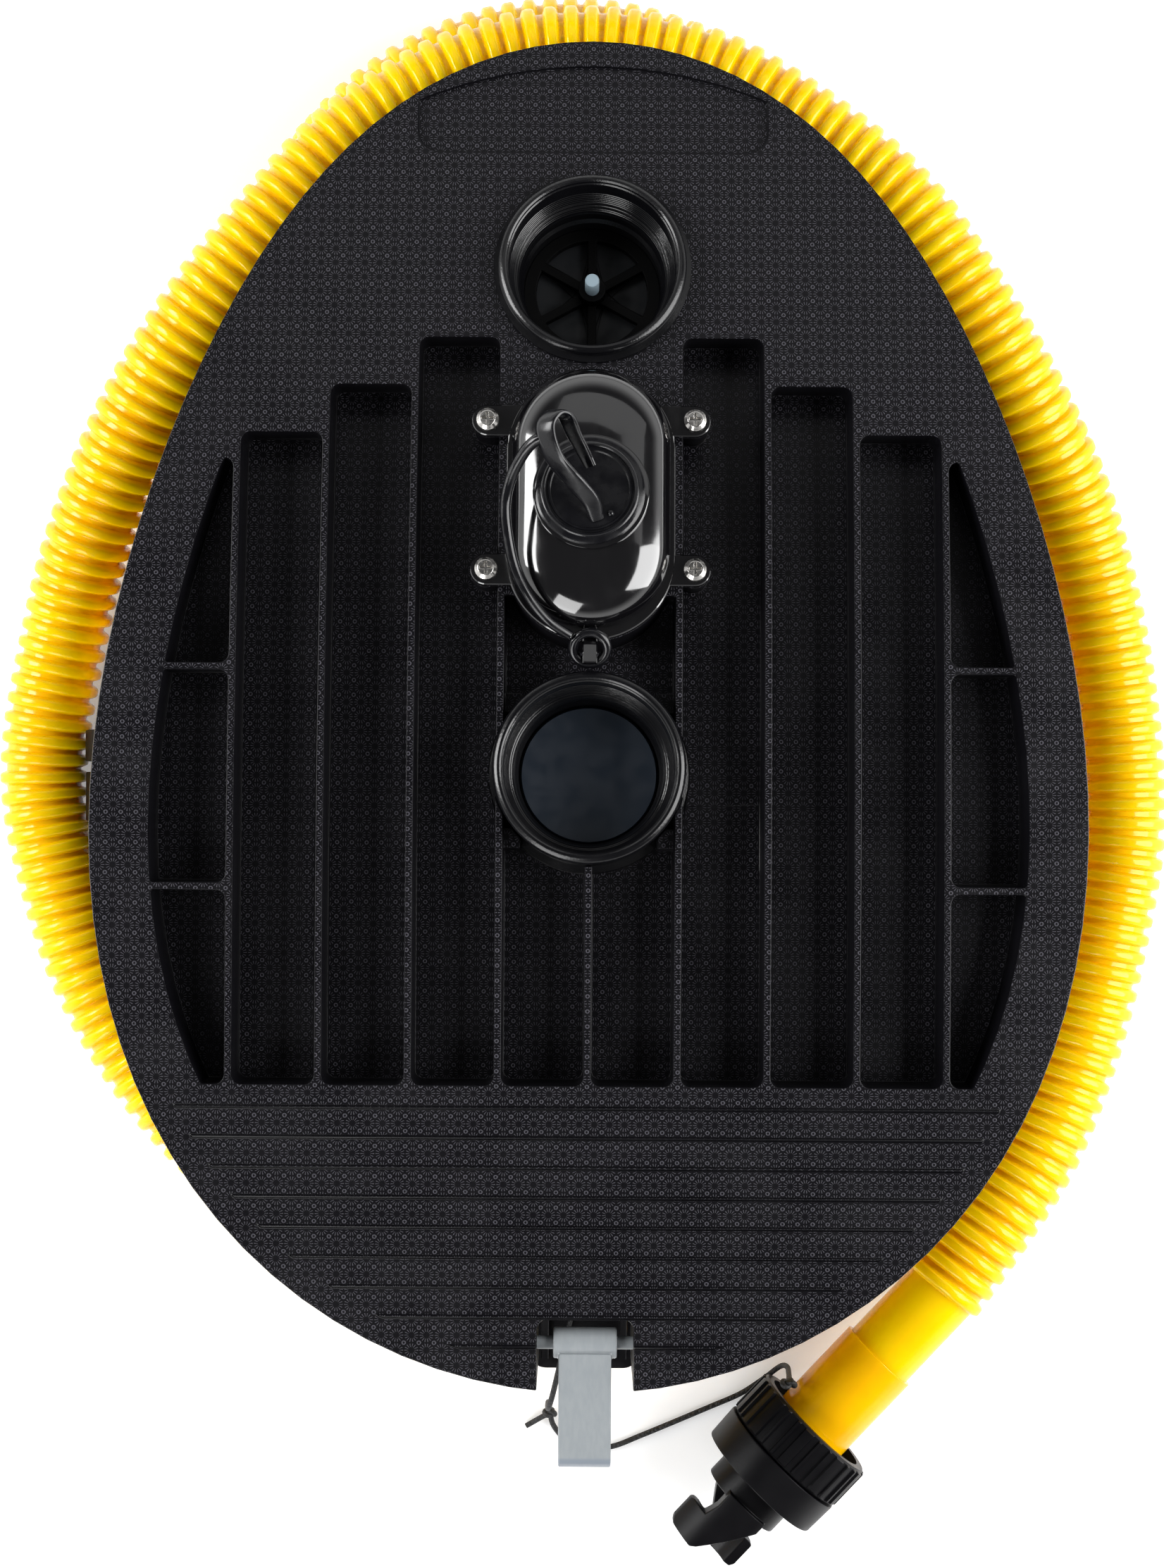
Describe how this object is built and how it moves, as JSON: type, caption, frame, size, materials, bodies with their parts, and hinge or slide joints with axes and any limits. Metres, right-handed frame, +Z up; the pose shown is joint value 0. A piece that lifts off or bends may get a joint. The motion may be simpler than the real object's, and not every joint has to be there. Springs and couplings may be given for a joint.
{
  "type": "foot pump",
  "caption": "Egg-shaped foot-operated bellows pump, stored closed, with ribbed hose laid round it, bayonet valve adapter, swinging latch and plugged stage cover.",
  "frame": {"origin": "on the floor, under the middle of the closed pump without its hose and lanyard", "axes": "+Z up, +Y towards the hinge at the narrow end, +X to the right seen from above with the hinge away from the viewer"},
  "size_m": [0.3362, 0.4525, 0.1135],
  "materials": {
    "black_plastic": "moulded with a fine sunburst texture, satin",
    "black_gloss": "glossy black moulded plastic",
    "black_rubber": "soft black rubber",
    "bellows_fabric": "rubberised black fabric, matt",
    "grey_plastic": "light grey satin plastic",
    "yellow_hose": "glossy yellow ribbed PVC",
    "yellow_cuff": "smooth yellow PVC",
    "valve_blue": "slate blue rubber, matt",
    "stem_blue": "pale blue plastic",
    "steel": "nickel plated steel",
    "spring_steel": "spring steel wire",
    "cord_black": "braided black cord"
  },
  "bodies": {
    "base": {"bottom_board": "black_plastic", "base_feet": "black_rubber", "stop_caps": "black_rubber", "latch_catch": "black_plastic", "catch_screws": "steel", "hinge_pin": "steel", "bellows_base_ring": "black_plastic", "base_ring_screws": "steel", "outer_bellows": "bellows_fabric", "inner_base_ring": "black_plastic", "inner_bellows": "bellows_fabric", "return_spring": "spring_steel", "hose": "yellow_hose", "hose_cuff": "yellow_cuff", "adapter_seal": "black_rubber", "valve_adapter": "black_plastic", "hose_tail_cuff": "yellow_cuff", "pump_end_plug": "black_plastic", "lanyard": "cord_black", "lanyard_knots": "cord_black"},
    "upper": {"top_board": "black_plastic", "bellows_lid_ring": "black_plastic", "lid_ring_screws": "steel", "inner_lid_ring": "black_plastic", "spring_cup": "black_plastic", "inlet_port": "black_gloss", "inlet_valve_seat": "black_plastic", "outlet_port": "black_gloss", "outlet_valve_seat": "black_plastic", "valve_cover": "black_gloss", "cover_gasket": "black_rubber", "cover_screws": "steel", "tether_ring": "black_rubber", "plug_tether": "black_rubber", "latch_pin": "grey_plastic"},
    "coupling": {"coupling_ring": "black_plastic"},
    "inlet_valve": {"inlet_valve": "stem_blue"},
    "outlet_valve": {"outlet_valve": "valve_blue"},
    "stage_flap": {"stage_valve": "valve_blue"},
    "plug": {"plug": "black_rubber"},
    "latch": {"latch": "grey_plastic"}
  },
  "joints": [
    {"name": "board_hinge", "type": "hinge", "parent": "base", "child": "upper", "pos_m": [0, 0.1805, 0.052], "axis": [-1, 0, 0], "range_deg": [0, 28], "deforming": ["outer_bellows", "inner_bellows", "return_spring"]},
    {"name": "latch_pivot", "type": "hinge", "parent": "upper", "child": "latch", "pos_m": [0, -0.1571, 0.081], "axis": [1, 0, 0], "range_deg": [-60, 86]},
    {"name": "plug_pull", "type": "slide", "parent": "upper", "child": "plug", "axis": [0, 0.1323, 0.9912], "range_m": [0, 0.012], "deforming": ["plug_tether"]},
    {"name": "inlet_valve_slide", "type": "slide", "parent": "upper", "child": "inlet_valve", "axis": [0, -0.1629, -0.9866], "range_m": [0, 0.0025], "stiffness_N_per_m": 40},
    {"name": "outlet_valve_slide", "type": "slide", "parent": "upper", "child": "outlet_valve", "axis": [0, 0.1045, 0.9945], "range_m": [0, 0.002]},
    {"name": "stage_valve_flap", "type": "hinge", "parent": "upper", "child": "stage_flap", "pos_m": [0, 0.04774, 0.08221], "axis": [-1, 0, 0], "range_deg": [0, 25]},
    {"name": "coupling_spin", "type": "hinge", "parent": "base", "child": "coupling", "pos_m": [0.06207, -0.19912, 0.02], "axis": [-0.6858, -0.7278, 0], "continuous": true}
  ]
}
